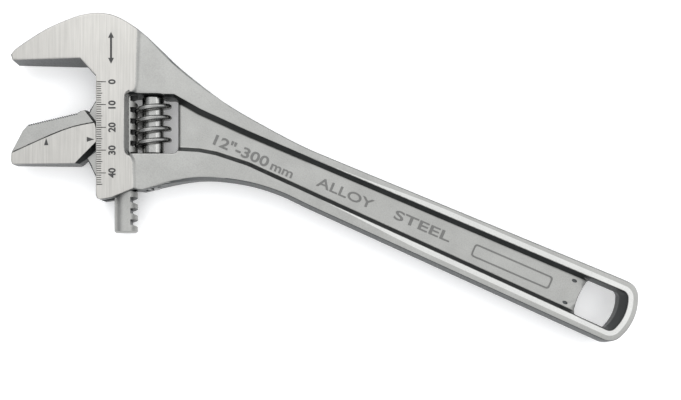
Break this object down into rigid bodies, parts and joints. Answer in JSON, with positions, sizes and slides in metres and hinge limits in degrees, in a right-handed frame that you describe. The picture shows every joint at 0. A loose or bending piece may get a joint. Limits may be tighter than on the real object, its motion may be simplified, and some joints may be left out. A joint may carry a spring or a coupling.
{
  "type": "adjustable wrench",
  "caption": "Wide-opening adjustable wrench with a reversible nut and pipe jaw, worm and rack slide, scaled head, recessed handle and hang hole.",
  "frame": {"origin": "under the middle of the bounding box, on the plane of the head's back face that the wrench rests on", "axes": "+X along the handle towards the hang hole, +Y square to it towards the fixed jaw's back, +Z out of the scaled face"},
  "size_m": [0.3006, 0.088, 0.0174],
  "materials": {
    "forged_body": "satin blasted chrome, head faces brushed along the slide",
    "forged_jaw": "brushed along the slide, pipe side satin",
    "worm_steel": "polished",
    "pin_steel": "plain turned steel",
    "spring_steel": "plain spring wire"
  },
  "bodies": {
    "frame": {"wrench_body": "forged_body", "worm_pin": "pin_steel"},
    "jaw": {"sliding_jaw": "forged_jaw"},
    "knurl": {"worm": "worm_steel", "worm_spring": "spring_steel"}
  },
  "joints": [
    {"name": "worm_spin", "type": "hinge", "parent": "frame", "child": "knurl", "pos_m": [-0.08065, 0.00698, 0.0087], "axis": [-0.3987, 0.9171, 0], "range_deg": [-1332.1, 1440.1]},
    {"name": "jaw_slide", "type": "slide", "parent": "frame", "child": "jaw", "axis": [0.3987, -0.9171, 0], "range_m": [-0.0185, 0.02]}
  ],
  "couplings": [
    {"joint": "worm_spin", "follows": "jaw_slide", "rad_per_m": 1256.6}
  ]
}
